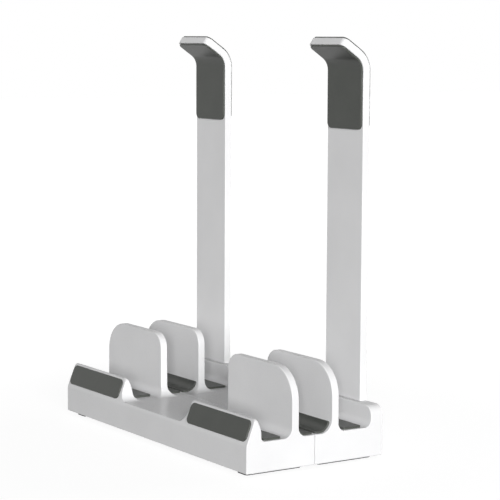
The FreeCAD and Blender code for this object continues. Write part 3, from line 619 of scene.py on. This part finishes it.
def makeLipPad(side, material):
    # up the leaning face, from a little above where it breaks
    lean = math.radians(lip["frontLean"])
    rise = lipPad["rise"]
    path = {"start": (frontFace + rise * math.sin(lean), lip["break"] + rise * math.cos(lean)),
            "heading": 90.0 - lip["frontLean"], "side": 1}
    strap = {"width": padLength, "span": (0.0, lipPad["height"]), "corners": (lipPad["corner"],) * 2,
             "heights": (0.0, lipPad["thickness"]), "edges": (0.0, lipPad["edge"]), "step": pad["step"]}
    piece = makePiece(f"{side}_lip_lining", strapPatches(strap, path), sides[side] * unitMiddle)
    dress(piece, material, "front_half", "pad", f"lip_pad_{side}")


def makeFloorPad(end, side, start, depth, material):
    # flat on the slot's floor, from its start towards the rear
    path = {"start": (start, base["floor"]), "heading": 0.0, "side": 1}
    strap = {"width": padLength, "span": (0.0, depth), "corners": (pad["corner"],) * 2,
             "heights": (0.0, pad["thickness"]), "edges": (0.0, pad["edge"]), "step": pad["step"]}
    piece = makePiece(f"{side}_{end}_slot_lining", strapPatches(strap, path), sides[side] * unitMiddle)
    dress(piece, material, f"{end}_half", "pad", f"{end}_slot_pad_{side}")


# the pads beside the seam: from it to the pad, the pad's top above the floor, and its corners' radii
bendPads = {"front": {"turn": -1, "seamGap": 0.6, "top": 2.8, "corners": (0.6, 1.2)},
            "rear": {"turn": 1, "seamGap": 1.8, "top": 6.5, "corners": (1.8, 1.2)}}


def makeBendPad(end, side, gap, foot, material):
    # along the floor from beside the seam, then up the foot's arc to the top: turn = arccos(1 - top / radius)
    bent = bendPads[end]
    turn = bent["turn"]
    climb = math.acos(1 - bent["top"] / foot)
    flat = gap - foot - bent["seamGap"]
    path = {"start": (turn * bent["seamGap"], base["floor"]), "heading": 0.0 if turn > 0 else 180.0,
            "first": flat, "radius": foot, "bend": turn * math.degrees(climb), "side": turn}
    strap = {"width": padLength, "span": (0.0, flat + foot * climb), "corners": bent["corners"],
             "heights": (0.0, pad["thickness"]), "edges": (0.0, pad["edge"]), "step": pad["bentStep"]}
    patches = strapPatches(strap, path)
    piece = makePiece(f"{side}_middle_slot_{end}_lining", patches, sides[side] * unitMiddle)
    dress(piece, material, f"{end}_half", "pad", f"middle_slot_{end}_pad_{side}")


def makePads(material):
    # the floor pads start just behind the arc of the foot in front of them
    frontStart = frontFace + lip["depth"] + lip["foot"] + pad["margin"]
    rearStart = rearFin["seamGap"] + fin["thickness"] + rearFin["feet"][1] + pad["margin"]
    for side in sides:
        makeLipPad(side, material)
        makeFloorPad("front", side, frontStart, pad["frontDepth"], material)
        makeFloorPad("rear", side, rearStart, pad["rearDepth"], material)
        makeBendPad("front", side, frontFin["seamGap"], frontFin["feet"][1], material)
        makeBendPad("rear", side, rearFin["seamGap"], rearFin["feet"][0], material)
        makeHookPads(side, material)


footStrip = {
    "width": 11.0, "length": 41.0, "height": 2.4, "corner": 2.0, "edge": 0.5,
    "middle": 103.0, "setback": 4.0,  # from the stand's middle across, and from the base's front or rear face
    "step": 4.0,  # between the points along it
}


def makeFoot(end, side, material):
    # flat under the base, set back from its front or its rear face
    setback, length = footStrip["setback"], footStrip["length"]
    start = frontFace + setback if end == "front" else rearFace - setback - length
    path = {"start": (start, 0.0), "heading": 0.0, "side": -1}
    strap = {"width": footStrip["width"], "span": (0.0, length), "corners": (footStrip["corner"],) * 2,
             "heights": (0.0, footStrip["height"]), "edges": (0.0, footStrip["edge"]),
             "step": footStrip["step"]}
    patches = strapPatches(strap, path)
    piece = makePiece(f"{side}_{end}_foot", patches, sides[side] * footStrip["middle"])
    dress(piece, material, f"{end}_half", "foot", f"{end}_foot_strip_{side}")


# Materials. All patterns read Object coordinates, in metres.

noise = {"usual": (0.3, 0.7),  # the range that most of a noise lies in
         "driftDetail": 3.0, "grainDetail": 2.0}


def startMaterial(name, settings):
    # the material, its nodes and links, its shader and the place on the object
    material = bpy.data.materials.new(name)
    material.use_nodes = True
    nodes = material.node_tree.nodes
    shader = next(node for node in nodes if node.type == "BSDF_PRINCIPLED")
    place = nodes.new("ShaderNodeTexCoord")
    shader.inputs["Metallic"].default_value = settings.get("metallic", 0)
    shader.inputs["IOR"].default_value = settings["ior"]
    return material, nodes, material.node_tree.links, shader, place.outputs["Object"]


def addNoise(nodes, links, place, scale, detail, stretch):
    # noise at this many cells a metre, drawn out along an axis where its stretch is under 1
    mapping = nodes.new("ShaderNodeMapping")
    mapping.inputs["Scale"].default_value = stretch
    pattern = nodes.new("ShaderNodeTexNoise")
    pattern.inputs["Scale"].default_value = scale
    pattern.inputs["Detail"].default_value = detail
    links.new(place, mapping.inputs["Vector"])
    links.new(mapping.outputs["Vector"], pattern.inputs["Vector"])
    return pattern.outputs["Fac"]


def spread(nodes, links, value, low, high):
    # the noise's usual range is spread over the one that is wanted
    ranged = nodes.new("ShaderNodeMapRange")
    ranged.inputs["From Min"].default_value, ranged.inputs["From Max"].default_value = noise["usual"]
    ranged.inputs["To Min"].default_value = low
    ranged.inputs["To Max"].default_value = high
    links.new(value, ranged.inputs["Value"])
    return ranged.outputs["Result"]


def finishMaterial(name, settings):
    # two close tones drift into each other, fine grain varies the roughness and lifts the surface a little
    material, nodes, links, shader, place = startMaterial(name, settings)
    stretch = settings.get("stretch", (1, 1, 1))
    drift = addNoise(nodes, links, place, settings["driftScale"], noise["driftDetail"], stretch)
    tones = nodes.new("ShaderNodeMix")
    tones.data_type = "RGBA"
    tones.inputs["A"].default_value = (*settings["dark"], 1)
    tones.inputs["B"].default_value = (*settings["light"], 1)
    links.new(spread(nodes, links, drift, 0, 1), tones.inputs["Factor"])
    links.new(tones.outputs["Result"], shader.inputs["Base Color"])
    grain = addNoise(nodes, links, place, settings["grainScale"], noise["grainDetail"], stretch)
    links.new(spread(nodes, links, grain, *settings["roughness"]), shader.inputs["Roughness"])
    bump = nodes.new("ShaderNodeBump")
    bump.inputs["Strength"].default_value = settings["bump"]
    bump.inputs["Distance"].default_value = settings["bumpDepth"]
    links.new(grain, bump.inputs["Height"])
    links.new(bump.outputs["Normal"], shader.inputs["Normal"])
    return material


# colours are linear, scales are in cells a metre, and bump depths in metres
finishes = {
    "satin_shell": {
        "dark": (0.66, 0.66, 0.665), "light": (0.70, 0.70, 0.705), "driftScale": 30,
        "roughness": (0.26, 0.34), "ior": 1.3, "grainScale": 2600, "bump": 0.25, "bumpDepth": 0.00002,
    },
    "satin_post": {
        "dark": (0.68, 0.68, 0.685), "light": (0.72, 0.72, 0.725), "driftScale": 24,
        "roughness": (0.28, 0.36), "ior": 1.35, "grainScale": 2600, "bump": 0.25, "bumpDepth": 0.00002,
    },
    "dark_silicone": {
        "dark": (0.054, 0.058, 0.052), "light": (0.062, 0.066, 0.059), "driftScale": 60,
        "roughness": (0.3, 0.4), "ior": 1.33, "grainScale": 3200, "bump": 0.4, "bumpDepth": 0.00003,
    },
    "foot_rubber": {
        "dark": (0.045, 0.045, 0.047), "light": (0.065, 0.065, 0.067), "driftScale": 90,
        "roughness": (0.6, 0.75), "ior": 1.5, "grainScale": 3200, "bump": 0.5, "bumpDepth": 0.00004,
    },
    "cover_plastic": {
        "dark": (0.52, 0.52, 0.525), "light": (0.57, 0.57, 0.575), "driftScale": 40,
        "roughness": (0.45, 0.58), "ior": 1.5, "grainScale": 1800, "bump": 0.5, "bumpDepth": 0.00005,
    },
    "plated_steel": {
        "dark": (0.48, 0.48, 0.49), "light": (0.62, 0.62, 0.63), "driftScale": 260, "metallic": 1,
        "roughness": (0.24, 0.38), "ior": 1.5, "grainScale": 1500, "bump": 0.2, "bumpDepth": 0.00002,
        "stretch": (1, 0.05, 1),
    },
}
materials = {name: finishMaterial(name, settings) for name, settings in finishes.items()}
print("materials:", len(materials))

makeFrontShell(materials["satin_shell"])
makeRearShell(materials["satin_shell"])
print("shells done")
for side in sides:
    makePost(side, materials["satin_post"])
    for end in ("front", "rear"):
        makeFoot(end, side, materials["foot_rubber"])
makePads(materials["dark_silicone"])
print("posts, pads and feet done")

# what stays as the source has it, in a finish of its own
carried = {"front_bottom_cover": "cover_plastic", "rear_bottom_cover": "cover_plastic",
           "front_cover_screws": "plated_steel", "rear_cover_screws": "plated_steel",
           "rail_screws": "plated_steel", "post_screws": "plated_steel",
           "guide_rail_left": "plated_steel", "guide_rail_right": "plated_steel"}
for node, finish in carried.items():
    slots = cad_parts[node].data.materials
    slots.clear()
    slots.append(materials[finish])


# Studio: a pale floor, soft light mostly from the right, weaker lamps behind and left, a white background.

studio = {
    "world": (0.4, 0.0),  # soft light from the horizon and from overhead
    "backdrop": 1.0,  # strength of the world where it is seen
    "floorSize": 12.0, "floorColour": (0.2, 0.2, 0.2), "floorRoughness": 0.9,
    "floorGlowWithPaintedShade": (0.9, 1.0),  # strength of the floor where it is seen, round the stand and farther off; the lower one round the stand is painted shade
    "floorPaintedShadeReach": (0.15, 0.5),  # metres between which it rises, out of the painted shade round the stand
    "aim": (0.0, 0.0, 0.1),
    "lamps": [
        {"name": "right_light", "place": (7.4, -3.4, 1.4), "size": (4.8, 2.6), "power": 965.0},
        {"name": "back_light", "place": (0.0, 8.1, 0.8), "size": (5.0, 1.4), "power": 450.0},
        {"name": "left_light", "place": (-8.1, 0.6, 0.8), "size": (3.0, 1.4), "power": 50.0},
    ],
}
camera = {
    "place": (1.02124, -0.64626, 0.26364), "yaw": 56.6337, "pitch": 6.578, "roll": 0.2703,
    "lens": 132.554, "sensor": 36.0,  # mm
}


def whereSeen(nodes, links, strength):
    # this strength, a number or a socket, for what is seen straight, in a gloss or through glass, or else 0
    rays = nodes.new("ShaderNodeLightPath")
    total = rays.outputs["Is Camera Ray"]
    for kind in ("Is Glossy Ray", "Is Transmission Ray"):
        add = nodes.new("ShaderNodeMath")
        add.operation = "MAXIMUM"
        links.new(total, add.inputs[0])
        links.new(rays.outputs[kind], add.inputs[1])
        total = add.outputs["Value"]
    choice = nodes.new("ShaderNodeMapRange")
    choice.inputs["To Min"].default_value = 0.0
    links.new(total, choice.inputs["Value"])
    if isinstance(strength, float):
        choice.inputs["To Max"].default_value = strength
    else:
        links.new(strength, choice.inputs["To Max"])
    return choice


def makeWorld():
    # light that falls with height from the horizon's strength to the one overhead, and white where it is seen
    world = bpy.data.worlds.new("studio_world")
    bpy.context.scene.world = world
    world.use_nodes = True
    nodes, links = world.node_tree.nodes, world.node_tree.links
    background = next(node for node in nodes if node.type == "BACKGROUND")
    background.inputs["Color"].default_value = (1, 1, 1, 1)
    place = nodes.new("ShaderNodeTexCoord")
    parts = nodes.new("ShaderNodeSeparateXYZ")
    links.new(place.outputs["Generated"], parts.inputs["Vector"])
    sky = nodes.new("ShaderNodeMapRange")
    sky.inputs["To Min"].default_value, sky.inputs["To Max"].default_value = studio["world"]
    links.new(parts.outputs["Z"], sky.inputs["Value"])
    strength = whereSeen(nodes, links, studio["backdrop"])
    links.new(sky.outputs["Result"], strength.inputs["To Min"])
    links.new(strength.outputs["Result"], background.inputs["Strength"])


def makeFloor():
    half = studio["floorSize"] / 2
    mesh = bpy.data.meshes.new("studio_floor")
    corners = [(-half, -half, 0), (half, -half, 0), (half, half, 0), (-half, half, 0)]
    mesh.from_pydata(corners, [], [(0, 1, 2, 3)])
    floor = bpy.data.objects.new("studio_floor", mesh)
    bpy.context.scene.collection.objects.link(floor)
    material = bpy.data.materials.new("studio_floor")
    material.use_nodes = True
    nodes, links = material.node_tree.nodes, material.node_tree.links
    shader = next(node for node in nodes if node.type == "BSDF_PRINCIPLED")
    shader.inputs["Base Color"].default_value = (*studio["floorColour"], 1)
    shader.inputs["Roughness"].default_value = studio["floorRoughness"]
    shader.inputs["Specular IOR Level"].default_value = 0.0
    shader.inputs["Emission Color"].default_value = (1, 1, 1, 1)
    # it glows, a little less round the stand: painted shade there, also in reflections, which lets the lamps'
    # own soft shadow show as well
    place = nodes.new("ShaderNodeTexCoord")
    length = nodes.new("ShaderNodeVectorMath")
    length.operation = "LENGTH"
    links.new(place.outputs["Object"], length.inputs[0])
    # the glow's dip round the stand is painted shade
    glowWithPaintedShade = nodes.new("ShaderNodeMapRange")
    glowWithPaintedShade.interpolation_type = "SMOOTHSTEP"
    glowWithPaintedShade.inputs["From Min"].default_value, glowWithPaintedShade.inputs["From Max"].default_value = studio["floorPaintedShadeReach"]
    glowWithPaintedShade.inputs["To Min"].default_value, glowWithPaintedShade.inputs["To Max"].default_value = studio["floorGlowWithPaintedShade"]
    links.new(length.outputs["Value"], glowWithPaintedShade.inputs["Value"])
    strength = whereSeen(nodes, links, glowWithPaintedShade.outputs["Result"])
    links.new(strength.outputs["Result"], shader.inputs["Emission Strength"])
    mesh.materials.append(material)


def makeLamps():
    # each lamp shines along its own -Z, which is turned towards the aim
    for lamp in studio["lamps"]:
        light = bpy.data.lights.new(lamp["name"], "AREA")
        light.shape = "RECTANGLE"
        light.size, light.size_y = lamp["size"]
        light.energy = lamp["power"]
        item = bpy.data.objects.new(lamp["name"], light)
        item.location = lamp["place"]
        x, y, z = unit(np.array(studio["aim"]) - np.array(lamp["place"]))
        item.rotation_euler = (math.acos(-z), 0, math.atan2(-x, y))
        bpy.context.scene.collection.objects.link(item)


def makeCamera():
    # the photo's viewpoint, worked out from the stand's straight edges
    data = bpy.data.cameras.new("photo_camera")
    data.lens = camera["lens"]
    data.sensor_width = camera["sensor"]
    item = bpy.data.objects.new("photo_camera", data)
    item.location = camera["place"]
    turned = Matrix.Rotation(math.radians(camera["yaw"]), 3, "Z")
    turned = turned @ Matrix.Rotation(math.radians(90 - camera["pitch"]), 3, "X")
    item.rotation_euler = (turned @ Matrix.Rotation(math.radians(camera["roll"]), 3, "Z")).to_euler()
    bpy.context.scene.collection.objects.link(item)
    bpy.context.scene.camera = item


makeWorld()
makeFloor()
makeLamps()
makeCamera()
bpy.context.scene.view_settings.view_transform = "Standard"
print("studio done")
